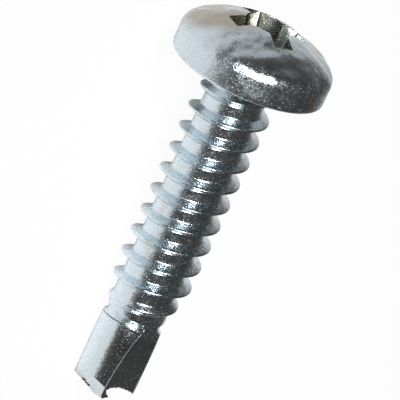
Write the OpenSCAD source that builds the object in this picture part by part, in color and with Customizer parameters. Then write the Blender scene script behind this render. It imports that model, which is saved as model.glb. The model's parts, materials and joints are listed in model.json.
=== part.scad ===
// Pan-head self-drilling screw with a cross recess, lying as it comes to rest on a flat surface.
// Each module draws the screw upright: bearing face at z = 0, head above it, point below it.

/* [Head] */
// Diameter of the head
head_d = 9.5; // [8.5:0.1:11]
// Height of the head from the bearing face to the crown of the dome
head_h = 3.4; // [3:0.1:4]
// Radius of the dome
dome_r = 8; // [7:0.1:12]
// Radius where the dome rolls over into the side
shoulder_r = 1; // [0.4:0.1:1.2]
// Radius of the lower rim
rim_r = 0.25; // [0.1:0.05:0.4]
// Radius of the fillet between the bearing face and the shank
underhead_r = 0.75; // [0.7:0.05:1]

/* [Recess] */
// Width across opposite wings where they meet the dome
recess_span = 4.9; // [4.2:0.1:5.2]
// Depth of the wings below that width
recess_depth = 2.4; // [1.8:0.1:2.6]
// Width of one wing at the mouth
wing_w = 1.3; // [1:0.05:1.5]
// Slope of the wing ends against the axis
wing_slope = 26.5; // [20:0.5:28]
// Slope of the wing sides against the axis
wing_draft = 5.75; // [2:0.25:8]
// Diameter of the round centre at the mouth
recess_core_d = 2.9; // [2.4:0.1:3.2]
// Turn of the cross about the axis
recess_turn = 34; // [0:1:89]

/* [Thread] */
// Length from the bearing face to the tip
length = 22; // [20:0.5:30]
// Outer diameter of the thread
thread_d = 4.8; // [4.5:0.05:5]
// Diameter at the root of the thread
root_d = 3.55; // [3.3:0.05:3.8]
// Rise of the thread in one turn
pitch = 1.41; // [1.2:0.01:1.8]
// Angle between the two flanks
flank_angle = 50; // [40:1:60]
// Width of the crest
crest_w = 0.12; // [0.06:0.02:0.2]
// Distance from the bearing face to the first full turn
thread_from = 2; // [2:0.1:3]
// Distance from the last full turn to the drill point's shoulder
thread_end = 3.1; // [2.6:0.1:4]
// Length over which the thread climbs out of the shank below the head
lead_in = 1.7; // [0.8:0.1:2]
// Length over which the thread dies away above the drill point
lead_out = 2.6; // [1:0.1:3]
// Place of the crest about the axis at the first full turn
thread_turn = 83; // [0:1:359]

/* [Drill point] */
// Length of the drill point below its shoulder
drill_l = 5; // [4:0.1:6]
// Diameter of the drill point
drill_d = 3.7; // [3.4:0.05:4]
// Diameter of the neck between the thread and the drill point
neck_d = 3.3; // [3:0.05:3.5]
// Height of the conical shoulder from the neck to the drill point
shoulder_l = 0.4; // [0.2:0.05:0.8]
// Height of the plain neck above the shoulder
neck_l = 0.3; // [0.1:0.05:0.6]
// Slope of the two relief faces against a plane across the axis
relief_slope = 37; // [30:1:45]
// Thickness of the web between the two flutes at the tip
web = 0.55; // [0.4:0.05:0.9]
// Angle between the walls of a flute
flute_angle = 97; // [80:1:105]
// Radius at the bottom of a flute
flute_r = 0.22; // [0.1:0.02:0.4]
// Slope at which a flute grows shallower away from the tip
flute_rise = 4.8; // [2:0.2:6]
// Slope at which a flute runs out at its upper end
flute_exit = 40; // [30:1:60]
// Place of the first flute about the axis
flute_turn = -38; // [-180:1:180]

/* [Hidden] */

$fn = 72;
steps_per_turn = 36;
// Size of a block that reaches past the whole screw
far = 4 * length;
// Distance by which a cutter starts above the head
clearance = 1;
// Turns of the thread's sheet that are buried in the head
buried_turns = 1.5;
// Height of the roof on the crest
crest_roof = crest_w / 3;
// Slope of the cone at the bottom of the recess
recess_cone = 20;
// Share of its radius by which the centre of the underhead fillet stands off the shank
fillet_offset = 0.92;

head_r = head_d / 2;
root_r = root_d / 2;
crest_r = thread_d / 2;
drill_r = drill_d / 2;
neck_r = neck_d / 2;

// The dome is a ball about dome_z, and the shoulder is a circle that touches ball and side
dome_z = head_h - dome_r;
shoulder_x = head_r - shoulder_r;
shoulder_z = dome_z + sqrt(pow(dome_r - shoulder_r, 2) - pow(shoulder_x, 2));
dome_edge_x = shoulder_x * dome_r / (dome_r - shoulder_r);

// The fillet's circle cuts a little into the shank, so that its arc meets the shank at a slight angle
fillet_x = root_r + fillet_offset * underhead_r;

// Levels along the shank, measured down from the bearing face
drill_from = length - drill_l;
neck_to = drill_from - shoulder_l;
neck_from = neck_to - neck_l;
thread_to = drill_from - thread_end;

// The recess is measured at the level where the wing ends meet the dome
mouth_z = dome_z + sqrt(pow(dome_r, 2) - pow(recess_span / 2, 2));
recess_z = mouth_z - recess_depth;
recess_top = head_h + clearance;

// A flute's walls meet the drill point's side at flute_half to both sides of the flute
flute_base = web / 2;
corner_drop = drill_r * tan(relief_slope) * sin(flute_angle / 2);
corner_depth = flute_base + corner_drop * tan(flute_rise);
flute_half = flute_angle / 2 - asin(corner_depth * sin(flute_angle / 2) / drill_r);
corner_s = length - drill_r * tan(relief_slope) * sin(flute_half);
corner_reach = drill_r * cos(flute_half);

// At rest the screw lies on the head's rim and on a flute's two corners, or on the thread
function lying_tilt(reach, s) =
    let (along = s + rim_r, across = head_r - rim_r - reach)
    atan2(across, along) + asin(rim_r / norm([along, across]));
tilt = min(lying_tilt(corner_reach, corner_s), lying_tilt(crest_r, thread_to));
rest_z = (head_r - rim_r) * cos(tilt) + rim_r * (1 - sin(tilt));
rest_x = ((length - dome_z) * cos(tilt) - dome_r) / 2;
rest_roll = -flute_turn;

// Head without its recess: a dome that rolls over into the side, and a round lower rim
module head() {
    rotate_extrude() intersection() {
        union() {
            intersection() {
                translate([0, dome_z]) circle(dome_r);
                square([dome_edge_x, head_h]);
            }
            translate([shoulder_x, shoulder_z]) circle(shoulder_r);
            translate([0, rim_r]) square([head_r, shoulder_z - rim_r]);
            square([head_r - rim_r, shoulder_z]);
            translate([head_r - rim_r, rim_r]) circle(rim_r);
        }
        square([head_r, head_h]);
    }
}

// Hollow fillet between the bearing face and the shank
module underhead_fillet() {
    rotate_extrude() difference() {
        translate([0, -underhead_r]) square([fillet_x, underhead_r + rim_r]);
        translate([fillet_x, -underhead_r]) circle(underhead_r);
    }
}

// Neck and uncut drill point; the neck's upper end lies inside the threaded shank
module neck_and_point() {
    rotate_extrude() polygon([
        [0, -neck_from + pitch],
        [neck_r, -neck_from + pitch],
        [neck_r, -neck_to],
        [drill_r, -drill_from],
        [drill_r, -length],
        [0, -length]
    ]);
}

// Share of its full height that the ridge has where its crest lies at depth s below the bearing face
function ridge_rise(s) =
    max(0, min(1, 1 - (thread_from - s) / lead_in, 1 - (s - thread_to) / lead_out));

// Radius of the shank between the turns, which draws in to slip inside the neck
function shank_r(s) = root_r - (root_r - neck_r) * max(0, s - neck_from) / neck_l;

// One section of a turn as [radius, depth], from the foot of its upper flank to that of its lower one
function turn_section(s) =
    let (
        low = shank_r(s),
        high = low + ridge_rise(s) * (crest_r - root_r),
        edge = high - ridge_rise(s) * crest_roof,
        half = crest_w / 2,
        foot = half + (crest_r - root_r) * tan(flank_angle / 2)
    )
    [[low, s - foot], [edge, s - half], [high, s], [edge, s + half], [low, s + foot]];

// Threaded shank, from inside the head to inside the neck, as one sheet wound down the helix
module threaded_shank() {
    first_s = -buried_turns * pitch;
    steps = ceil((neck_to + neck_l - first_s) / pitch * steps_per_turn);
    lines = len(turn_section(0));
    points = [
        for (i = [0 : steps + steps_per_turn])
            let (
                s = first_s + i * pitch / steps_per_turn,
                angle = thread_turn - 360 * (s - thread_from) / pitch
            )
            each [for (p = turn_section(s)) [p[0] * cos(angle), p[0] * sin(angle), -p[1]]]
    ];
    // Number of the point on a line at a step; the line after the last one is the next turn's first
    function at(i, j) = j < lines ? i * lines + j : (i + steps_per_turn) * lines;
    top = len(points);
    bottom = top + 1;
    ends = [[0, 0, -first_s], [0, 0, points[at(steps, lines - 1)][2]]];
    sheet = [
        for (i = [0 : steps - 1], j = [0 : lines - 1])
            each [[at(i, j), at(i, j + 1), at(i + 1, j + 1)], [at(i, j), at(i + 1, j + 1), at(i + 1, j)]]
    ];
    caps = [
        for (i = [0 : steps_per_turn - 1]) [top, at(i, 0), at(i + 1, 0)],
        for (j = [0 : lines - 1]) [top, at(0, j + 1), at(0, j)],
        for (i = [steps : steps + steps_per_turn - 1]) [bottom, at(i + 1, 0), at(i, 0)],
        for (j = [0 : lines - 1]) [bottom, at(steps, j), at(steps, j + 1)]
    ];
    polyhedron(concat(points, ends), concat(sheet, caps));
}

// Cutter of one pair of wings, tapered along its length and across its width
module wing_pair() {
    half_span = recess_span / 2;
    rise = recess_top - mouth_z;
    intersection() {
        rotate([90, 0, 0]) linear_extrude(head_d, center = true) polygon([
            [half_span - recess_depth * tan(wing_slope), recess_z],
            [half_span + rise * tan(wing_slope), recess_top],
            [-half_span - rise * tan(wing_slope), recess_top],
            [-half_span + recess_depth * tan(wing_slope), recess_z]
        ]);
        rotate([90, 0, 90]) linear_extrude(head_d, center = true) polygon([
            [wing_w / 2 - recess_depth * tan(wing_draft), recess_z],
            [wing_w / 2 + rise * tan(wing_draft), recess_top],
            [-wing_w / 2 - rise * tan(wing_draft), recess_top],
            [-wing_w / 2 + recess_depth * tan(wing_draft), recess_z]
        ]);
    }
}

// Cross recess: two wing pairs, a tapered round centre and the cone at its bottom
module recess() {
    bottom_r = recess_span / 2 - recess_depth * tan(wing_slope);
    core_r = recess_core_d / 2;
    core_slope = (core_r - bottom_r) / recess_depth;
    rotate([0, 0, recess_turn]) {
        wing_pair();
        rotate([0, 0, 90]) wing_pair();
        rotate_extrude() polygon([
            [0, recess_z - bottom_r * tan(recess_cone)],
            [bottom_r, recess_z],
            [core_r + (recess_top - mouth_z) * core_slope, recess_top],
            [0, recess_top]
        ]);
    }
}

// Cutter of one flute, which opens towards +X and runs out at its upper end
module flute() {
    half = flute_angle / 2;
    reach = 2 * drill_d;
    round_x = flute_r / sin(half);
    wall_x = round_x * pow(cos(half), 2);
    translate([flute_base, 0, -length]) intersection() {
        rotate([0, flute_rise, 0]) translate([0, 0, -drill_l]) linear_extrude(3 * drill_l) {
            polygon([
                [wall_x, wall_x * tan(half)],
                [reach, reach * tan(half)],
                [reach, -reach * tan(half)],
                [wall_x, -wall_x * tan(half)]
            ]);
            translate([round_x, 0]) circle(flute_r);
        }
        translate([drill_l * tan(flute_rise), 0, drill_l])
            rotate([0, flute_exit - 90, 0])
                translate([-far / 2, -far / 2, -far]) cube(far);
    }
}

// The two relief faces that form the point, with the chisel edge along the flutes
module point_relief() {
    for (side = [-90, 90])
        rotate([0, 0, side]) translate([0, 0, -length])
            rotate([0, -relief_slope, 0])
                translate([-far / 2, -far / 2, -far]) cube(far);
}

module screw_upright() {
    difference() {
        union() {
            head();
            underhead_fillet();
            neck_and_point();
            threaded_shank();
        }
        recess();
        rotate([0, 0, flute_turn]) {
            for (side = [0, 180]) rotate([0, 0, side]) flute();
            point_relief();
        }
    }
}

module screw() {
    color("#bcc3c9")
        translate([-rest_x, 0, rest_z]) rotate([0, tilt - 90, 0]) rotate([0, 0, rest_roll])
            screw_upright();
}

screw();
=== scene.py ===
# %% [markdown]
# # A zinc-plated self-drilling screw
# The real screw starts as a piece of steel wire. A die upsets the head and presses the cross
# recess into it, two dies pinch the drill point, rolls raise the thread, and a zinc bath coats it.
# The lesson follows that order: blank, thread, recess, point, plating, and then a small studio.
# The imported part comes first, because it fixes where the screw lies and how big it is.

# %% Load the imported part
import json
import math

import bmesh
import bpy
from mathutils import Matrix, Vector


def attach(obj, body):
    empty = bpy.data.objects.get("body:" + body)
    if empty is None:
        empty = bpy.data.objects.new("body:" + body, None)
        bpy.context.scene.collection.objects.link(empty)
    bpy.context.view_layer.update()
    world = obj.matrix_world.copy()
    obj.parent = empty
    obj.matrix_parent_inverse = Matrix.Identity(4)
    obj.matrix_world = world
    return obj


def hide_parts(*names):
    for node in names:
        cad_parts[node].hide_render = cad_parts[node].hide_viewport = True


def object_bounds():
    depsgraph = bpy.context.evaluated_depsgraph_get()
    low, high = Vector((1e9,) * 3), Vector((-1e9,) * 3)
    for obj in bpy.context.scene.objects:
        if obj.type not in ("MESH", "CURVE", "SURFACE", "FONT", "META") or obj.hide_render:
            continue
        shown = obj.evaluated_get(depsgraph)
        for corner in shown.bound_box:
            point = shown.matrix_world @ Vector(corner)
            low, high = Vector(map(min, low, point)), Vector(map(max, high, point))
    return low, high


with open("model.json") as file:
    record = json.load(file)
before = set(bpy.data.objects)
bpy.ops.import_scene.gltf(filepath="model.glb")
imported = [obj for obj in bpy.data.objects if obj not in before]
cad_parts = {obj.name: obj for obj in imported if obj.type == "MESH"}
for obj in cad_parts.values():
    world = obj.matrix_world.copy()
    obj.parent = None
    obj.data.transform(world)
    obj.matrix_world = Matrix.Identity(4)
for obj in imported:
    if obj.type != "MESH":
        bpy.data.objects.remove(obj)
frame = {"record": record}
bpy.context.view_layer.update()
cad_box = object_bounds()
print("packed part, mm:", [round(1000 * x, 2) for corner in cad_box for x in corner])

# %% [markdown]
# ## Where the screw lies
# It rests on its head's rim and on its drill point, so its axis dips towards the point. The record
# keeps the flat ring under the head as a mount, with its place and its normal, and those two give
# the whole pose except the roll. We model the screw upright and in millimetres, where the numbers
# are easy to read and the tools' tolerances suit the shape, and lay it down at the very end.

# %% The lying pose from the record
MM = 0.001
bearing = next(m for m in frame["record"]["mounts"] if m["name"] == "bearing_face")
dip = math.asin(-bearing["axis"][2])
FLUTE_TURN = math.radians(-38)
lay_down = (
    Matrix.Translation((bearing["pos_m"][0], 0, bearing["pos_m"][2]))
    @ Matrix.Rotation(dip - math.pi / 2, 4, "Y")
    @ Matrix.Rotation(-FLUTE_TURN, 4, "Z")
)
print("axis dips by", round(math.degrees(dip), 2), "degrees")

# %% [markdown]
# ## A few hand moves
# Every piece below is drawn with the same moves: start a profile at one vertex, run it on by
# extruding a line or spinning an arc, and turn it about the axis. An operator acts on all that is
# selected, so each move first says what it means to touch.

# %% Select and edit


def only(obj):
    """Selects one object, and nothing else."""
    bpy.ops.object.select_all(action="DESELECT")
    obj.select_set(True)
    bpy.context.view_layer.objects.active = obj


def edit(obj):
    """Opens one object in edit mode."""
    only(obj)
    bpy.ops.object.mode_set(mode="EDIT")


def leave_edit():
    """Goes back to object mode."""
    bpy.ops.object.mode_set(mode="OBJECT")


def pick(obj, kind, test):
    """In edit mode, selects the verts, edges or faces that pass a test, and counts them."""
    modes = {"verts": "VERT", "edges": "EDGE", "faces": "FACE"}
    bpy.ops.mesh.select_mode(type=modes[kind])
    bpy.ops.mesh.select_all(action="DESELECT")
    bm = bmesh.from_edit_mesh(obj.data)
    found = [e for e in getattr(bm, kind) if test(e)]
    for e in found:
        e.select_set(True)
    bmesh.update_edit_mesh(obj.data)
    return len(found)


# %% Draw a profile and turn it
SAME_POINT = 1e-4


def start_profile(name, r, z):
    """A new object with one vertex at radius r and height z, in edit mode."""
    bpy.ops.object.select_all(action="DESELECT")
    bpy.ops.mesh.primitive_plane_add(size=1)
    obj = bpy.context.object
    obj.name = name
    bpy.ops.object.mode_set(mode="EDIT")
    bpy.ops.mesh.select_mode(type="VERT")
    bpy.ops.mesh.select_all(action="SELECT")
    bpy.ops.mesh.merge(type="CENTER")
    bpy.ops.transform.translate(value=(r, 0, z))
    return obj


def pen(obj):
    """Radius and height of the vertex that the profile has reached."""
    bm = bmesh.from_edit_mesh(obj.data)
    tip = next(v for v in bm.verts if v.select)
    return tip.co.x, tip.co.z


def line(obj, r, z, cuts=1):
    """Runs the profile straight to radius r and height z."""
    r0, z0 = pen(obj)
    step = ((r - r0) / cuts, 0, (z - z0) / cuts)
    for _ in range(cuts):
        bpy.ops.mesh.extrude_region_move(TRANSFORM_OT_translate={"value": step})


def arc(obj, r, z, degrees, steps):
    """Runs the profile round the centre (r, z); a positive angle turns from up towards outwards."""
    bpy.ops.mesh.spin(steps=steps, angle=-math.radians(degrees), center=(r, 0, z), axis=(0, 1, 0))


def turn(obj, steps):
    """Turns the finished profile once about the axis and closes the solid."""
    bpy.ops.mesh.select_all(action="SELECT")
    bpy.ops.mesh.spin(steps=steps, angle=2 * math.pi, center=(0, 0, 0), axis=(0, 0, 1))
    bpy.ops.mesh.select_all(action="SELECT")
    bpy.ops.mesh.remove_doubles(threshold=SAME_POINT)
    bpy.ops.mesh.normals_make_consistent(inside=False)
    leave_edit()


def open_edges(obj):
    """How many edges don't join exactly two faces; 0 on a closed solid."""
    bm = bmesh.new()
    bm.from_mesh(obj.data)
    count = sum(len(e.link_faces) != 2 for e in bm.edges)
    bm.free()
    return count


def tell(what, obj):
    """Prints how many faces an object has, and whether it is closed."""
    print(what + ":", len(obj.data.polygons), "faces,", open_edges(obj), "open edges")


# %% [markdown]
# ## The headed blank
# A heading press leaves a round body: a shallow dome that rolls over into a short side, a rounded
# lower rim, a flat ring that bears on the sheet, and a hollow fillet down to the shank. Below the
# thread come a neck, a small cone and the thicker stub that becomes the drill point, with a fine
# line round it where the dies met. All of it is round, so one profile turned about the axis is the
# honest way to make it. The shank is drawn a little thin here, because the thread brings its own
# surface.

# %% Turn the blank
HEAD_R, HEAD_H, DOME_R, SHOULDER_R, RIM_R = 4.75, 3.4, 8.0, 1.0, 0.25
ROOT_R, CREST_R, NECK_R, DRILL_R = 1.775, 2.4, 1.65, 1.85
FILLET_R, FILLET_X = 0.75, 2.465
LENGTH, DRILL_FROM, NECK_TO, NECK_FROM = 22.0, 16.8, 16.4, 16.1
CORE_R, CORE_FROM = ROOT_R - 0.05, 1.2
TAPER_HIGH, TAPER_LOW = 0.9, 0.7
SWELL, DIE_LINE, COLLAR = math.radians(40), 0.05, 0.3

dome_z = HEAD_H - DOME_R
shoulder_x = HEAD_R - SHOULDER_R
roll_over = math.degrees(math.asin(shoulder_x / (DOME_R - SHOULDER_R)))
shoulder_z = dome_z + (DOME_R - SHOULDER_R) * math.cos(math.radians(roll_over))
fillet_arc = math.degrees(math.acos((FILLET_X - CORE_R) / FILLET_R))

screw = start_profile("plated_screw", 0, HEAD_H)
arc(screw, 0, dome_z, roll_over, 30)
arc(screw, shoulder_x, shoulder_z, 90 - roll_over, 20)
line(screw, HEAD_R, RIM_R, 3)
arc(screw, HEAD_R - RIM_R, RIM_R, 90, 10)
line(screw, FILLET_X, 0, 4)
arc(screw, FILLET_X, -FILLET_R, -(90 - fillet_arc), 12)
print("fillet ends at", [round(x, 3) for x in pen(screw)])
line(screw, CORE_R, -CORE_FROM)
line(screw, CORE_R, TAPER_HIGH - NECK_FROM, 8)
line(screw, NECK_R, TAPER_LOW - NECK_FROM)
line(screw, NECK_R, -NECK_FROM)
line(screw, NECK_R, -DRILL_FROM + (DRILL_R - NECK_R) * math.tan(SWELL), 8)
line(screw, DRILL_R, -DRILL_FROM, 4)
line(screw, DRILL_R - DIE_LINE, -DRILL_FROM - DIE_LINE)
line(screw, DRILL_R, -DRILL_FROM - 2 * DIE_LINE)
line(screw, DRILL_R, -DRILL_FROM - COLLAR, 4)
line(screw, DRILL_R, -LENGTH, 12)
line(screw, 0, -LENGTH, 6)
turn(screw, 180)
tell("blank", screw)

# %% [markdown]
# ## Zones and a crooked shoulder
# Later steps need to know which tool made a face: the flash follows the edges of the flutes, and
# grime and painted shade sit in the recess. So every solid gets the same row of empty material slots,
# one for each zone, and its faces are put in one of them. A boolean passes the slot on to the faces
# that it cuts. The die line is the first zone. The dies also met a little askew, so the rings of the
# neck and the shoulder are tilted, each about its own middle, which keeps their spacing.

# %% Mark the zones
ZONES = ("body", "recess", "flute", "nick", "seam")


def mark(obj, zone):
    """Puts all faces of a solid in a zone's slot, which it passes on to the faces that it cuts."""
    only(obj)
    for _ in ZONES:
        bpy.ops.object.material_slot_add()
    obj.active_material_index = ZONES.index(zone)
    edit(obj)
    bpy.ops.mesh.select_all(action="SELECT")
    bpy.ops.object.material_slot_assign()
    leave_edit()


mark(screw, "body")
screw.active_material_index = ZONES.index("seam")
edit(screw)
seam_faces = pick(screw, "faces", lambda f: -2 * DIE_LINE < f.calc_center_median().z + DRILL_FROM < 0)
bpy.ops.object.material_slot_assign()
leave_edit()
print("faces of the die line:", seam_faces)

# %% Tilt the shoulder
SHOULDER_TILT, NEAR = math.radians(7.7), 0.01
edit(screw)
rings = {}
for v in bmesh.from_edit_mesh(screw.data).verts:
    if -DRILL_FROM - COLLAR - NEAR < v.co.z < NEAR - NECK_FROM:
        rings.setdefault(round(v.co.z, 3), set()).add(v.index)
for z, ring in rings.items():
    pick(screw, "verts", lambda v: v.index in ring)
    bpy.ops.transform.rotate(value=SHOULDER_TILT, orient_axis="X", center_override=(0, 0, z))
leave_edit()
print("tilted rings:", len(rings))

# %% [markdown]
# ## What the dies leave behind
# No die is perfect. The dome comes out faintly wavy, which is why its reflections run in blots, and
# the pinched neck keeps fine rings. Both are too shallow to see in the outline, but metal shows
# them. A Displace modifier with cloud noise pushes the painted zones in and out by a few hundredths.

# %% Paint and roughen


def paint(obj, weight):
    """A vertex group that holds each vertex's weight; returns its name."""
    group = obj.vertex_groups.new(name="painted")
    for v in obj.data.vertices:
        w = weight(v)
        if w > 0:
            group.add([v.index], min(w, 1), "REPLACE")
    return group.name


def roughen(obj, grain, height, weight, flatten=1.0):
    """Pushes the painted vertices in and out by noise; flatten squeezes its grain along the axis."""
    texture = bpy.data.textures.new("noise", "CLOUDS")
    texture.noise_scale = grain
    bpy.ops.object.empty_add()
    space = bpy.context.object
    space.scale.z = flatten
    bpy.context.view_layer.update()
    group = paint(obj, weight)
    only(obj)
    bpy.ops.object.modifier_add(type="DISPLACE")
    push = obj.modifiers[-1]
    push.texture = texture
    push.texture_coords = "OBJECT"
    push.texture_coords_object = space
    push.strength = height
    push.vertex_group = group
    bpy.ops.object.modifier_apply(modifier=push.name)
    obj.vertex_groups.clear()
    bpy.data.objects.remove(space)


# %% Wavy dome and streaked neck
WAVE, WAVE_H, WAVE_FROM, WAVE_FADE = 1.6, 0.25, 1.0, 0.8
STREAK, STREAK_H, STREAK_FLAT = 0.6, 0.035, 0.16
STREAK_ABOVE, STREAK_BELOW, STREAK_FADE = 0.1, 0.5, 0.2


def on_dome(v):
    """Weight of the waves, which grow from the head's side up to the dome."""
    return (v.co.z - WAVE_FROM) / WAVE_FADE


def on_neck(v):
    """Weight of the streaks, which fade out just above the neck and below the shoulder."""
    return min(-v.co.z - NECK_FROM + STREAK_ABOVE, DRILL_FROM + STREAK_BELOW + v.co.z) / STREAK_FADE


roughen(screw, WAVE, WAVE_H, on_dome)
roughen(screw, STREAK, STREAK_H, on_neck, STREAK_FLAT)
print("head now reaches", round(max(v.co.z for v in screw.data.vertices), 3), "mm up")

# %% [markdown]
# ## The rolled thread
# Rolling dies press the root into the shank and let the ridge rise between them, so the ridge is a
# smooth swelling with a narrow rounded crest, half a pitch of plain root between turns, and it
# fades in below the head and out above the point. The Screw modifier winds one pitch of profile
# up the helix. The fades are painted as weights, and a Cast modifier draws the weighted ridge back
# towards the root. A boolean then joins it to the blank.

# %% Draw one pitch of the thread's profile
PITCH, FLANK = 1.41, math.radians(25)
CREST_ROUND, ROOT_ROUND = 0.08, 0.12
THREAD_FROM, THREAD_TO, LEAD_IN, LEAD_OUT = 2.0, 13.9, 1.7, 2.6
CREST_TURN, TURNS_BELOW = 83 / 360, 11
low_crest = -(THREAD_FROM + (CREST_TURN + TURNS_BELOW) * PITCH)

# Where the root's round, the flank and the crest's round touch each other
root_end_r = ROOT_R + ROOT_ROUND * (1 - math.sin(FLANK))
crest_start_r = CREST_R - CREST_ROUND * (1 - math.sin(FLANK))
crest_half = CREST_ROUND * math.cos(FLANK)
flank_half = crest_half + (crest_start_r - root_end_r) * math.tan(FLANK)
root_half = flank_half + ROOT_ROUND * math.cos(FLANK)
flank_turn = 90 - math.degrees(FLANK)

thread = start_profile("thread", ROOT_R, low_crest - PITCH / 2)
line(thread, ROOT_R, low_crest - root_half, 3)
arc(thread, ROOT_R + ROOT_ROUND, low_crest - root_half, flank_turn, 5)
line(thread, crest_start_r, low_crest - crest_half, 4)
arc(thread, CREST_R - CREST_ROUND, low_crest, -2 * flank_turn, 8)
line(thread, root_end_r, low_crest + flank_half, 4)
arc(thread, ROOT_R + ROOT_ROUND, low_crest + root_half, flank_turn, 5)
line(thread, ROOT_R, low_crest + PITCH / 2, 3)
print("profile ends at", [round(x, 4) for x in pen(thread)], "root flat", round(PITCH - 2 * root_half, 3))
leave_edit()

# %% Wind it up the helix
TURNS, TURN_STEPS = 14, 120
only(thread)
bpy.ops.object.modifier_add(type="SCREW")
winding = thread.modifiers[-1]
winding.axis = "Z"
winding.angle = 2 * math.pi
winding.screw_offset = PITCH
winding.iterations = TURNS
winding.steps = winding.render_steps = TURN_STEPS
bpy.ops.object.modifier_apply(modifier=winding.name)
edit(thread)
bpy.ops.mesh.select_all(action="SELECT")
bpy.ops.mesh.remove_doubles(threshold=SAME_POINT)
leave_edit()
lowest = min(v.co.z for v in thread.data.vertices)
print("wound:", len(thread.data.vertices), "vertices from z", round(lowest, 2))

# %% Fade the ridge in and out


def crest_depth(v):
    """Depth below the bearing face of the crest that this vertex belongs to."""
    round_turns = math.atan2(v.co.y, v.co.x) / (2 * math.pi)
    first = THREAD_FROM + (CREST_TURN - round_turns) * PITCH
    return first + round((-v.co.z - first) / PITCH) * PITCH


def fade(v):
    """How far the ridge has sunk into the root there, from below 0 to 1 and more."""
    depth = crest_depth(v)
    return max((THREAD_FROM - depth) / LEAD_IN, (depth - THREAD_TO) / LEAD_OUT)


def cast_to(obj, radius, weight):
    """Draws each vertex towards a cylinder of that radius, by its own weight."""
    group = paint(obj, weight)
    only(obj)
    bpy.ops.object.modifier_add(type="CAST")
    cast = obj.modifiers[-1]
    cast.cast_type = "CYLINDER"
    cast.use_z = False
    cast.use_radius_as_size = False
    cast.radius = 0
    cast.size = radius
    cast.factor = 1
    cast.vertex_group = group
    bpy.ops.object.modifier_apply(modifier=cast.name)
    obj.vertex_groups.clear()


TUCK = 0.02
cast_to(thread, ROOT_R, fade)
cast_to(thread, NECK_R - TUCK, lambda v: (-v.co.z - NECK_FROM) / (NECK_TO - NECK_FROM))
widest = max(math.hypot(v.co.x, v.co.y) for v in thread.data.vertices)
print("thread is widest at radius", round(widest, 3))

# %% Trim the ends and join it to the blank
THREAD_TOP = 0.7


def boolean(obj, other, operation):
    """Joins or cuts obj with another solid, which is used up."""
    only(obj)
    bpy.ops.object.modifier_add(type="BOOLEAN")
    tool = obj.modifiers[-1]
    tool.operation = operation
    tool.solver = "MANIFOLD"
    tool.object = other
    bpy.ops.object.modifier_apply(modifier=tool.name)
    bpy.data.objects.remove(other)


edit(thread)
for z, up in ((THREAD_TOP, 1), (-NECK_TO - TUCK, -1)):
    bpy.ops.mesh.select_all(action="SELECT")
    bpy.ops.mesh.bisect(plane_co=(0, 0, z), plane_no=(0, 0, up), use_fill=True, clear_outer=True)
bpy.ops.mesh.select_all(action="SELECT")
bpy.ops.mesh.normals_make_consistent(inside=False)
leave_edit()
tell("thread", thread)
boolean(screw, thread, "UNION")
tell("blank with thread", screw)

# %% [markdown]
# ## The cross recess
# A punch with four tapered wings and a round middle is pressed into the dome. We make the punch:
# two long cubes whose lower ends are scaled down for the draft, with their upright edges rounded
# as on a worn punch, and a turned cone for the middle. The two pairs of wings differ a little in
# depth, as on a real punch, which also spares the cuts from meeting in one plane. Three cuts leave
# the recess, and the thin slivers that they leave are merged away.

# %% Shape the punch
RECESS_SPAN, RECESS_DEPTH, WING_W, CORE_D = 4.9, 2.4, 1.3, 2.9
WING_SLOPE, WING_DRAFT, RECESS_CONE = math.radians(26.5), math.radians(5.75), math.radians(20)
RECESS_TURN, UNEVEN, WING_EDGE, FOOT_EDGE = math.radians(34), 0.02, 0.12, 0.1
mouth_z = dome_z + math.sqrt(DOME_R**2 - (RECESS_SPAN / 2) ** 2)
recess_z, punch_top = mouth_z - RECESS_DEPTH, HEAD_H + 1


def wing_half(height):
    """Half the length and half the width of a pair of wings, so high above the recess's mouth."""
    return RECESS_SPAN / 2 + height * math.tan(WING_SLOPE), WING_W / 2 + height * math.tan(WING_DRAFT)


def wing_pair(turn_by, foot_z):
    """One pair of wings of the punch, as a tapered block down to foot_z."""
    half, foot = wing_half(punch_top - mouth_z), wing_half(-RECESS_DEPTH)
    taper = (foot[0] / half[0], foot[1] / half[1], 1)
    bpy.ops.object.select_all(action="DESELECT")
    bpy.ops.mesh.primitive_cube_add(size=2, location=(0, 0, (punch_top + foot_z) / 2))
    wing = bpy.context.object
    wing.scale = (half[0], half[1], (punch_top - foot_z) / 2)
    bpy.ops.object.transform_apply(location=True, rotation=False, scale=True)
    edit(wing)
    pick(wing, "faces", lambda f: f.normal.z < -0.9)
    bpy.ops.transform.resize(value=taper, center_override=(0, 0, foot_z))
    pick(wing, "edges", lambda e: abs(e.verts[0].co.z - e.verts[1].co.z) > 1)
    bpy.ops.mesh.bevel(offset=WING_EDGE, segments=4, affect="EDGES")
    pick(wing, "edges", lambda e: max(v.co.z for v in e.verts) < foot_z + NEAR)
    bpy.ops.mesh.bevel(offset=FOOT_EDGE, segments=3, affect="EDGES")
    leave_edit()
    wing.rotation_euler.z = turn_by
    only(wing)
    bpy.ops.object.transform_apply(location=False, rotation=True, scale=False)
    return wing


bottom_r = wing_half(-RECESS_DEPTH)[0]
core_top_r = CORE_D / 2 + (punch_top - mouth_z) * (CORE_D / 2 - bottom_r) / RECESS_DEPTH
core = start_profile("punch_middle", 0, recess_z - bottom_r * math.tan(RECESS_CONE))
line(core, bottom_r, recess_z, 3)
line(core, core_top_r, punch_top, 8)
line(core, 0, punch_top)
turn(core, 96)
tell("middle of the punch", core)

# %% Press in the cross
SLIVER, PINHOLE = 0.002, 0.01


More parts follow.
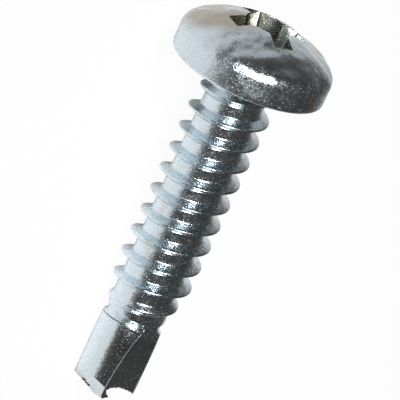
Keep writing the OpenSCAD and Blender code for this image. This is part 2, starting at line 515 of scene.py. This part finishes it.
def mend(obj):
    """Merges the slivers that a cut leaves, and closes a pinhole where three faces meet."""
    edit(obj)
    bpy.ops.mesh.select_mode(type="VERT")
    bpy.ops.mesh.select_all(action="SELECT")
    bpy.ops.mesh.remove_doubles(threshold=SLIVER)
    bpy.ops.mesh.dissolve_degenerate(threshold=SLIVER)
    bpy.ops.mesh.delete_loose(use_verts=True, use_edges=True, use_faces=False)
    bpy.ops.mesh.select_all(action="DESELECT")
    bpy.ops.mesh.select_non_manifold()
    bpy.ops.mesh.remove_doubles(threshold=PINHOLE)
    bpy.ops.mesh.select_all(action="DESELECT")
    bpy.ops.mesh.select_non_manifold()
    bpy.ops.mesh.fill_holes(sides=0)
    bpy.ops.mesh.select_all(action="SELECT")
    bpy.ops.mesh.normals_make_consistent(inside=False)
    leave_edit()


for quarter in (0, 1):
    wings = wing_pair(RECESS_TURN + quarter * math.pi / 2, recess_z + (quarter + 1) * UNEVEN)
    mark(wings, "recess")
    boolean(screw, wings, "DIFFERENCE")
mark(core, "recess")
boolean(screw, core, "DIFFERENCE")
mend(screw)
tell("with recess", screw)

# %% [markdown]
# ## The drill point
# Pinching leaves two V-shaped flutes, a thin web between them and two sloping faces that meet in a
# chisel edge. A flute's cutter is a cube turned on edge, squashed until its corner has the flute's
# angle, with that corner rounded. Bisects cut it into rings, and each ring is moved outwards and
# widened by its own amount, so that the bottom of the flute rises in a curve until it runs out, and
# the flute opens towards the tip. Two bisects across the tip leave the sloping faces.

# %% Shape a flute's cutter
WEB, FLUTE_HALF, FLUTE_R = 0.55, math.radians(97 / 2), 0.22
FLUTE_L, TIP_SPREAD, SPREAD_L = 6.6, 0.3, 4.0


def flute_bottom(h):
    """How far from the axis the flute's bottom lies, so high above the tip."""
    return WEB / 2 + (NECK_R - WEB / 2) * (max(h, 0) / FLUTE_L) ** 3


def flute_spread(h):
    """How many times wider than its plain V the flute opens there."""
    return 1 + TIP_SPREAD * max(1 - h / SPREAD_L, 0) ** 2


def flute(side):
    """A flute's cutter, on one side of the point."""
    reach, low, high, steps = 6.0, -1.0, 7.0, 16
    wide = reach * math.tan(FLUTE_HALF)
    bpy.ops.object.select_all(action="DESELECT")
    bpy.ops.mesh.primitive_cube_add(size=2)
    cutter = bpy.context.object
    cutter.rotation_euler.z = math.pi / 4
    bpy.ops.object.transform_apply(location=False, rotation=True, scale=False)
    cutter.scale = (reach / math.sqrt(2), wide / math.sqrt(2), (high - low) / 2)
    cutter.location = (reach, 0, (high + low) / 2)
    bpy.ops.object.transform_apply(location=True, rotation=False, scale=True)
    edit(cutter)
    pick(cutter, "edges", lambda e: max(abs(v.co.x) + abs(v.co.y) for v in e.verts) < 1e-3)
    bpy.ops.mesh.bevel(offset=FLUTE_R / math.tan(FLUTE_HALF), segments=6, affect="EDGES")
    heights = [low + (high - low) * i / steps for i in range(steps + 1)]
    for h in heights[1:-1]:
        bpy.ops.mesh.select_all(action="SELECT")
        bpy.ops.mesh.bisect(plane_co=(0, 0, h), plane_no=(0, 0, 1))
    for h in heights:
        pick(cutter, "verts", lambda v: abs(v.co.z - h) < 1e-3)
        bpy.ops.transform.resize(value=(1, flute_spread(h), 1), center_override=(0, 0, h))
        bpy.ops.transform.translate(value=(flute_bottom(h), 0, 0))
    bpy.ops.mesh.select_all(action="SELECT")
    bpy.ops.mesh.normals_make_consistent(inside=False)
    leave_edit()
    cutter.location.z = -LENGTH
    bpy.ops.object.transform_apply(location=True, rotation=False, scale=False)
    cutter.rotation_euler.z = FLUTE_TURN + side * math.pi
    bpy.ops.object.transform_apply(location=False, rotation=True, scale=False)
    return cutter


print("flute's bottom lies", [round(flute_bottom(h), 2) for h in range(7)], "mm from the axis")

# %% Cut the flutes
for side in (0, 1):
    cutter = flute(side)
    mark(cutter, "flute")
    boolean(screw, cutter, "DIFFERENCE")
mend(screw)
tell("with flutes", screw)

# %% Slope the two faces of the tip
RELIEF, RELIEF_TURN = math.radians(41), math.radians(11)
edit(screw)
for side in (-1, 1):
    across = FLUTE_TURN + side * math.pi / 2 + RELIEF_TURN
    slope = (math.cos(across) * math.sin(RELIEF), math.sin(across) * math.sin(RELIEF), -math.cos(RELIEF))
    bpy.ops.mesh.select_all(action="SELECT")
    bpy.ops.mesh.bisect(plane_co=(0, 0, -LENGTH), plane_no=slope, use_fill=True, clear_outer=True)
leave_edit()
mend(screw)
tell("with point", screw)

# %% [markdown]
# ## Flash and worn lips
# Where the two dies meet they squeeze out a fine bead of flash, which shows as a pale line down the
# edge of each flute. The bead is the flute's own edge, copied, made a thin round wire and joined
# on. The cutting lips are left ragged: one has lost a rough bite, and the other is nicked. Rough
# balls take those out. Noise can fold a ball's skin, so a voxel remesh gives it a clean one first.

# %% Flash along the flutes
FLASH_R, FLASH_TO, FLASH_STEP, TIP_FACING = 0.03, -15.9, 0.12, -0.3


def on_flute_edge(e):
    """Whether an edge lies between a flute and the body, clear of the sloping faces of the tip."""
    zones = {ZONES[f.material_index] for f in e.link_faces}
    below = max(v.co.z for v in e.verts) < FLASH_TO
    return zones == {"body", "flute"} and below and min(f.normal.z for f in e.link_faces) > TIP_FACING


edit(screw)
print("flute edges:", pick(screw, "edges", on_flute_edge))
bpy.ops.mesh.duplicate()
bpy.ops.mesh.separate(type="SELECTED")
leave_edit()
flash = next(o for o in bpy.context.selected_objects if o is not screw)
edit(flash)
bpy.ops.mesh.select_all(action="SELECT")
bpy.ops.mesh.remove_doubles(threshold=FLASH_STEP)
leave_edit()
only(flash)
bpy.ops.object.convert(target="CURVE")
flash.data.bevel_depth = FLASH_R
flash.data.bevel_resolution = 2
flash.data.use_fill_caps = True
bpy.ops.object.convert(target="MESH")
flash = bpy.context.object
edit(flash)
bpy.ops.mesh.select_all(action="SELECT")
bpy.ops.mesh.remove_doubles(threshold=SAME_POINT)
bpy.ops.mesh.normals_make_consistent(inside=False)
leave_edit()
tell("flash", flash)
boolean(screw, flash, "UNION")
mend(screw)
tell("with flash", screw)

# %% Find the lips and take a bite
GRIT, SKIN = 0.08, 0.032


def lip_point(side, out):
    """A point on a cutting lip, so many millimetres out from the web."""
    flute_at = FLUTE_TURN + side * math.pi
    along = flute_at + math.atan(flute_spread(0) * math.tan(FLUTE_HALF))
    across = flute_at + math.pi / 2 + RELIEF_TURN
    x = WEB / 2 * math.cos(flute_at) + out * math.cos(along)
    y = WEB / 2 * math.sin(flute_at) + out * math.sin(along)
    return Vector((x, y, -LENGTH + math.tan(RELIEF) * (x * math.cos(across) + y * math.sin(across))))


def bite(at, radii, rough, zone):
    """Takes a rough ball out of the screw."""
    bpy.ops.object.select_all(action="DESELECT")
    bpy.ops.mesh.primitive_ico_sphere_add(subdivisions=5, radius=1, location=at)
    ball = bpy.context.object
    ball.scale = radii
    bpy.ops.object.transform_apply(location=True, rotation=False, scale=True)
    roughen(ball, GRIT, rough, lambda v: 1)
    bpy.ops.object.modifier_add(type="REMESH")
    skin = ball.modifiers[-1]
    skin.mode = "VOXEL"
    skin.voxel_size = SKIN * max(radii)
    bpy.ops.object.modifier_apply(modifier=skin.name)
    mark(ball, zone)
    boolean(screw, ball, "DIFFERENCE")


LIP_BITE, BITE_ROUGH = (0.95, 0.45, 0.5), 0.34
bite(lip_point(0, 1.0), LIP_BITE, BITE_ROUGH, "flute")
tell("with a bitten lip", screw)

# %% Nick the other lip
NICK_WAY, NICK_LONG, NICK_ROUGH = Vector((0, -1, 0.8)), 2.2, 0.08
for out, inset, size in ((0.58, 0.22, 0.12), (0.76, 0.18, 0.09), (0.97, 0.24, 0.14)):
    at = lip_point(1, out) + inset * NICK_WAY
    bite(at, (size, NICK_LONG * size, size), NICK_ROUGH, "nick")
tell("with worn lips", screw)

# %% [markdown]
# ## Grime, painted shade and polish
# Oil and filings stay in the nicks, in the die line and in the recess, and darken them, and the same
# value paints shade into these hollows: the recess gets darker from its mouth inwards. The dome and
# the drill point are smoother than the rest, because polished dies pressed them. We keep both as
# attributes, so that the plating can read them. Grime and painted shade belong to the corners of
# faces, because they stop sharply at the edge of a zone, and polish belongs to the vertices, because
# it fades.

# %% Note where grime and painted shade sit
mesh = screw.data
mesh.attributes.new("grime", "FLOAT", "CORNER")
mesh.attributes.new("polish", "FLOAT", "POINT")
grime, polish = mesh.attributes["grime"], mesh.attributes["polish"]
# Nicks and die line are darkened partly as grime and partly as painted shade in these hollows.
ZONE_GRIME_AND_SHADE = {"body": 0, "flute": 0, "seam": 0.5, "nick": 1}
# The recess darkens from its mouth inwards: painted shade on top of its grime.
MOUTH_GRIME_AND_SHADE, DEEP_GRIME_AND_SHADE, GRIME_AND_SHADE_FADE = 0.3, 0.5, 4


def grime_and_shade_at(zone, z):
    """How soiled a face of that zone is at that height, from 0 to 1, with painted shade that deepens into
    the recess.
    """
    if zone == "recess":
        return min(MOUTH_GRIME_AND_SHADE + (mouth_z - z) / GRIME_AND_SHADE_FADE, DEEP_GRIME_AND_SHADE)
    return ZONE_GRIME_AND_SHADE[zone]


for face in mesh.polygons:
    for corner in face.loop_indices:
        z = mesh.vertices[mesh.loops[corner].vertex_index].co.z
        grime.data[corner].value = grime_and_shade_at(ZONES[face.material_index], z)
print("grimy corners:", sum(g.value > 0.1 for g in grime.data))

# %% Note where the dies polished
DOME_FROM, DOME_POLISH, SHANK_POLISH, POINT_POLISH = 1.7, 0.68, 0.3, 0.6


def polish_at(z):
    """How smooth the dies have pressed the metal at that height, from 0 to 1."""
    if z > 0:
        return min(max(z - DOME_FROM, 0), DOME_POLISH)
    return min(max(-DRILL_FROM - z, SHANK_POLISH), POINT_POLISH)


for v in mesh.vertices:
    polish.data[v.index].value = polish_at(v.co.z)
print("rough head side:", sum(p.value == 0 for p in polish.data), "vertices")

# %% [markdown]
# ## Lay it down
# The screw is finished, so it goes from the upright millimetres of the workshop to where it lies on
# the table, in metres. The move is applied to the mesh, which leaves the object at the origin. The
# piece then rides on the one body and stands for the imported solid, which is hidden.

# %% Lay it down and hand it to the frame
SMOOTH_BELOW = math.radians(28)
screw.matrix_world = lay_down @ Matrix.Scale(MM, 4)
only(screw)
bpy.ops.object.transform_apply(location=True, rotation=True, scale=True)
bpy.ops.object.shade_smooth_by_angle(angle=SMOOTH_BELOW)
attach(screw, "root")
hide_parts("screw")
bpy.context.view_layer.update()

# %% [markdown]
# ## The colour of the zinc
# Bright zinc is a blue-white metal. Slow noise adds the faint warm and bluish stains of the chromate
# dip, and the photograph shows a warmer patch on the dome, beside the recess. Grime, with the shade
# painted into the recess, the nicks and the die line, is a film on top, so it multiplies the colour.
# A single colour would look like plastic, and an image would have to be wrapped round the screw, so
# noise in the object's own space does it.

# %% Helpers for materials


def node(tree, kind, place, **values):
    """Adds a node and sets its properties and input values."""
    made = tree.nodes.new(kind)
    made.location = place
    for name, value in values.items():
        if name in made.inputs:
            made.inputs[name].default_value = value
        else:
            setattr(made, name, value)
    return made


def map_range(tree, place, source, low, high, to=(0, 1), smooth=False):
    """Maps what comes from a source, from low to high, to the two values of to."""
    made = node(tree, "ShaderNodeMapRange", place)
    if smooth:
        made.interpolation_type = "SMOOTHSTEP"
    made.inputs["From Min"].default_value = low
    made.inputs["From Max"].default_value = high
    made.inputs["To Min"].default_value = to[0]
    made.inputs["To Max"].default_value = to[1]
    tree.links.new(source, made.inputs["Value"])
    return made.outputs["Result"]


def math_node(tree, place, operation, *values):
    """A math node; each value is a number or another node's output."""
    made = node(tree, "ShaderNodeMath", place, operation=operation)
    for socket, value in zip(made.inputs, values):
        if isinstance(value, bpy.types.NodeSocket):
            tree.links.new(value, socket)
        else:
            socket.default_value = value
    return made.outputs[0]


def ramp(tree, place, source, stops):
    """A colour ramp with the given (position, colour) stops."""
    made = node(tree, "ShaderNodeValToRGB", place)
    elements = made.color_ramp.elements
    while len(elements) < len(stops):
        elements.new(0.5)
    for element, (position, colour) in zip(elements, stops):
        element.position, element.color = position, (*colour, 1)
    tree.links.new(source, made.inputs["Fac"])
    return made.outputs["Color"]


def new_material(name):
    """An empty node material, with its tree and its linking function."""
    made = bpy.data.materials.new(name)
    made.use_nodes = True
    made.node_tree.nodes.clear()
    return made, made.node_tree, made.node_tree.links.new


# %% Stains and film
STAIN_SCALE, PATCH_AT = 420, MM * Vector((-2.7, 0.2, 2.8))
zinc, tree, link = new_material("bright_zinc")
place = node(tree, "ShaderNodeTexCoord", (-1200, 0)).outputs["Object"]
surface = node(tree, "ShaderNodeBsdfPrincipled", (300, 0), Metallic=1.0)
result = node(tree, "ShaderNodeOutputMaterial", (600, 0))
link(surface.outputs["BSDF"], result.inputs["Surface"])

stain = node(tree, "ShaderNodeTexNoise", (-900, 300), Scale=STAIN_SCALE, Detail=5, Roughness=0.6)
link(place, stain.inputs["Vector"])
stained = stain.outputs["Fac"]
tint = ramp(tree, (-600, 300), stained, [
    (0.30, (0.60, 0.57, 0.51)),
    (0.42, (0.70, 0.79, 0.83)),
    (0.70, (0.74, 0.81, 0.88)),
])
from_patch = node(tree, "ShaderNodeVectorMath", (-900, 600), operation="DISTANCE")
from_patch.inputs[1].default_value = lay_down @ PATCH_AT
link(place, from_patch.inputs[0])
near_patch = map_range(tree, (-600, 600), from_patch.outputs["Value"], 0.0034, 0.0020, smooth=True)
patchy = map_range(tree, (-600, 850), stained, 0.80, 0.48, smooth=True)
warmth = math_node(tree, (-400, 700), "MULTIPLY", near_patch, patchy)
warmed = node(tree, "ShaderNodeMix", (-250, 400), data_type="RGBA")
warmed.inputs["B"].default_value = (0.44, 0.41, 0.36, 1)
link(warmth, warmed.inputs["Factor"])
link(tint, warmed.inputs["A"])

dirt_and_shade = node(tree, "ShaderNodeAttribute", (-250, 650), attribute_name="grime").outputs["Fac"]
# The film darkens the colour by grime, and by painted shade in the recess, the nicks and the die line.
film_and_shade = ramp(tree, (-100, 650), dirt_and_shade, [
    (0.00, (1.00, 1.00, 1.00)),
    (0.35, (0.72, 0.69, 0.62)),
    (0.70, (0.38, 0.36, 0.31)),
    (1.00, (0.05, 0.04, 0.03)),
])
dirty_and_shaded = node(tree, "ShaderNodeMix", (100, 400), data_type="RGBA", blend_type="MULTIPLY")
dirty_and_shaded.inputs["Factor"].default_value = 1
link(warmed.outputs["Result"], dirty_and_shaded.inputs["A"])
link(film_and_shade, dirty_and_shaded.inputs["B"])
link(dirty_and_shaded.outputs["Result"], surface.inputs["Base Color"])
print("colour of the zinc:", len(tree.nodes), "nodes")

# %% [markdown]
# ## The grain of the zinc
# The bath follows the grain of the cold-worked steel, so up close it is a field of tiny facets that
# each lean a few degrees their own way: where a smooth mirror would show a dark room, single facets
# still catch the light and glitter. A Voronoi texture gives each cell one random colour, which
# serves as that lean, and a few cells are also dull. The polish scales both down. Slow noise lets
# the roughness wander, and a Bevel node softens the sharp edges, as plating does.

# %% Dull and shining facets
GRAIN_SCALE, GRAIN_FLAT, DULL_SCALE = 14000, 2.2, 2500
ROUGHNESS, DULL_FROM, DULL_BY, GRIME_DULL = (0.08, 0.32), 0.90, 0.38, 0.25
UNPOLISHED = (1.3, 0.3)

upright = node(tree, "ShaderNodeMapping", (-1300, -300))
upright.inputs["Rotation"].default_value = lay_down.to_3x3().inverted().to_euler()
link(place, upright.inputs["Vector"])
squeezed = node(tree, "ShaderNodeVectorMath", (-1100, -300), operation="MULTIPLY")
squeezed.inputs[1].default_value = (1, 1, GRAIN_FLAT)
link(upright.outputs["Vector"], squeezed.inputs[0])
facets = node(tree, "ShaderNodeTexVoronoi", (-900, -300), Scale=GRAIN_SCALE)
link(squeezed.outputs["Vector"], facets.inputs["Vector"])

dull = node(tree, "ShaderNodeTexNoise", (-900, 0), Scale=DULL_SCALE, Detail=4)
link(place, dull.inputs["Vector"])
spread = map_range(tree, (-600, 0), dull.outputs["Fac"], 0, 1, to=ROUGHNESS)
lot = node(tree, "ShaderNodeSeparateColor", (-700, -500))
link(facets.outputs["Color"], lot.inputs["Color"])
much = map_range(tree, (-500, -500), lot.outputs["Blue"], DULL_FROM, 1, to=(0, DULL_BY))
pressed = node(tree, "ShaderNodeAttribute", (-900, -900), attribute_name="polish").outputs["Fac"]
unpolished = map_range(tree, (-700, -900), pressed, 0, 1, to=UNPOLISHED)
dulled = math_node(tree, (-300, -50), "ADD", spread, much)
shined = math_node(tree, (-200, -50), "MULTIPLY", dulled, unpolished)
matt = math_node(tree, (-100, -50), "MULTIPLY_ADD", dirt_and_shade, GRIME_DULL, shined)
link(matt, surface.inputs["Roughness"])
print("with its roughness:", len(tree.nodes), "nodes")

# %% Lean the facets and coat the screw
GRAIN_LEAN, EDGE_ROUND = 0.17, 0.00003
centred = node(tree, "ShaderNodeVectorMath", (-700, -300), operation="SUBTRACT")
centred.inputs[1].default_value = (0.5, 0.5, 0.5)
link(facets.outputs["Color"], centred.inputs[0])
lean = node(tree, "ShaderNodeVectorMath", (-500, -300), operation="SCALE")
link(centred.outputs["Vector"], lean.inputs[0])
link(math_node(tree, (-700, -750), "MULTIPLY", unpolished, GRAIN_LEAN), lean.inputs["Scale"])
rounded = node(tree, "ShaderNodeBevel", (-500, -700), samples=6, Radius=EDGE_ROUND)
leaning = node(tree, "ShaderNodeVectorMath", (-300, -300), operation="ADD")
link(lean.outputs["Vector"], leaning.inputs[0])
link(rounded.outputs["Normal"], leaning.inputs[1])
facing = node(tree, "ShaderNodeVectorMath", (-100, -300), operation="NORMALIZE")
link(leaning.outputs["Vector"], facing.inputs[0])
link(facing.outputs["Vector"], surface.inputs["Normal"])

screw.data.materials.clear()
screw.data.materials.append(zinc)
print("plating:", len(tree.nodes), "nodes on", len(screw.data.materials), "slot")

# %% [markdown]
# ## The camera
# The photograph looks from a little above the head, with the screw slanting across the frame. The
# lens is long, so the near head is hardly larger than the far point. Angle, roll and scale were
# found by laying the outline of the solid over the outline in the photograph.

# %% Set up the camera
PICTURE, SENSOR = 400, 36
LEAN, ROLL, PX_PER_MM, DISTANCE = math.radians(19.11), math.radians(24.96), 17.118, 447.0
AIM_Z, AIM_RIGHT, AIM_UP = -9, 10.52, 12.44
to_camera = Vector((0, -math.cos(LEAN), math.sin(LEAN)))
right, up = Vector((1, 0, 0)), Vector((0, math.sin(LEAN), math.cos(LEAN)))
image_right = math.cos(ROLL) * right + math.sin(ROLL) * up
image_up = -math.sin(ROLL) * right + math.cos(ROLL) * up
target = Vector((0, 0, AIM_Z)) + (AIM_RIGHT * right + AIM_UP * up) / PX_PER_MM
bpy.ops.object.camera_add()
camera = bpy.context.object
pose = Matrix((image_right, image_up, to_camera)).transposed().to_4x4()
camera.matrix_world = lay_down.to_3x3().to_4x4() @ pose
camera.location = lay_down @ (MM * (target + DISTANCE * to_camera))
camera.data.sensor_width = SENSOR
camera.data.lens = SENSOR * DISTANCE * PX_PER_MM / PICTURE
camera.data.clip_start, camera.data.clip_end = 0.01, 20
bpy.context.scene.camera = camera
print("camera at", [round(x, 4) for x in camera.location], "lens", round(camera.data.lens), "mm")

# %% [markdown]
# ## A white table in a dim room
# Metal shows what stands round it. Reading the photograph's metal as a mirror tells what that was:
# a white table that is brightest close to the screw and falls off with distance, a dim room that
# darkens with height, and one soft lamp beside the camera. We build the room and the lamp, and the
# table's pool of light is painted: its colour and its glow fall off with distance from the screw.
# The camera sees the table as plain white with a faint shadow, and the metal sees the painted pool.

# %% Painted pool of light on the table
scene = bpy.context.scene
scene.view_settings.view_transform = "Standard"
bpy.ops.object.select_all(action="DESELECT")
bpy.ops.mesh.primitive_plane_add(size=8)
floor = bpy.context.object
floor.name = "floor"

PAINTED_POOL_AT, PAINTED_POOL_REACH = (0.004, -0.004, 0), 0.2
# The painted pool: grey levels of the table's colour and glow by distance from the screw, not lamp light.
PAINTED_POOL = ((0.05, 0.98), (0.11, 0.80), (0.20, 0.51), (0.40, 0.30), (1.00, 0.19))
paper, tree, link = new_material("white_table")
spot = node(tree, "ShaderNodeTexCoord", (-1000, -300))
reach = node(tree, "ShaderNodeVectorMath", (-800, -300), operation="DISTANCE")
reach.inputs[1].default_value = PAINTED_POOL_AT
link(spot.outputs["Object"], reach.inputs[0])
far = map_range(tree, (-600, -300), reach.outputs["Value"], 0, PAINTED_POOL_REACH)
painted_pool = ramp(tree, (-400, -300), far, [(at, (grey, grey, grey)) for at, grey in PAINTED_POOL])
print("table:", [round(x, 2) for x in floor.dimensions], "m, pool reaches", PAINTED_POOL_REACH, "m")

# %% What the camera and the metal see of it
SEEN_SHARE, MIRROR_SHARE = 0.95, 0.08
ray = node(tree, "ShaderNodeLightPath", (-800, 200)).outputs
mirrored = math_node(tree, (-600, 100), "MAXIMUM", ray["Is Glossy Ray"], ray["Is Transmission Ray"])
in_mirror = math_node(tree, (-400, 100), "MULTIPLY", mirrored, MIRROR_SHARE)
in_view = math_node(tree, (-400, 300), "MULTIPLY", ray["Is Camera Ray"], SEEN_SHARE)
share = math_node(tree, (-200, 200), "MAXIMUM", in_view, in_mirror)
# For the metal the glow's strength is the painted pool of light; for the camera it is plain white.
level = math_node(tree, (-100, -100), "MAXIMUM", ray["Is Camera Ray"], painted_pool)
white = node(tree, "ShaderNodeEmission", (100, -100), Color=(1, 1, 1, 1))
link(level, white.inputs["Strength"])
# The table's colour also carries the painted pool, darker away from the screw.
lit = node(tree, "ShaderNodeBsdfDiffuse", (100, -300))
link(painted_pool, lit.inputs["Color"])
both = node(tree, "ShaderNodeMixShader", (300, 0))
link(share, both.inputs[0])
link(lit.outputs[0], both.inputs[1])
link(white.outputs[0], both.inputs[2])
result = node(tree, "ShaderNodeOutputMaterial", (500, 0))
link(both.outputs[0], result.inputs["Surface"])
floor.data.materials.append(paper)
print("white table:", len(tree.nodes), "nodes")

# %% Dim room
room = bpy.data.worlds.new("dim_room")
scene.world = room
room.use_nodes = True
tree = room.node_tree
tree.nodes.clear()
link = tree.links.new
look = node(tree, "ShaderNodeTexCoord", (-700, 0))
part = node(tree, "ShaderNodeSeparateXYZ", (-500, 0))
link(look.outputs["Generated"], part.inputs[0])
shade = ramp(tree, (-300, 0), part.outputs["Z"], [
    (0.00, (0.16, 0.155, 0.15)),
    (0.10, (0.11, 0.106, 0.10)),
    (0.25, (0.07, 0.067, 0.063)),
    (0.50, (0.044, 0.041, 0.038)),
    (1.00, (0.058, 0.054, 0.050)),
])
glow = node(tree, "ShaderNodeBackground", (0, 0), Strength=1.0)
link(shade, glow.inputs["Color"])
result = node(tree, "ShaderNodeOutputWorld", (200, 0))
link(glow.outputs[0], result.inputs["Surface"])
print("room:", len(tree.nodes), "nodes")

# %% Soft lamp
LAMP_FROM, LAMP_AWAY, LAMP_SIZE, LAMP_WATTS = Vector((0.19, -0.885, 0.42)), 0.5, (0.36, 0.22), 2.9
away = (lay_down.to_3x3() @ LAMP_FROM).normalized()
middle = (Vector(cad_box[0]) + Vector(cad_box[1])) / 2
bpy.ops.object.light_add(type="AREA", location=middle + LAMP_AWAY * away)
lamp = bpy.context.object
lamp.name = "softbox"
lamp.rotation_euler = away.to_track_quat("Z", "Y").to_euler()
lamp.data.shape = "RECTANGLE"
lamp.data.size, lamp.data.size_y = LAMP_SIZE
lamp.data.energy = LAMP_WATTS
lamp.visible_camera = False
print("lamp at", [round(x, 3) for x in lamp.location])
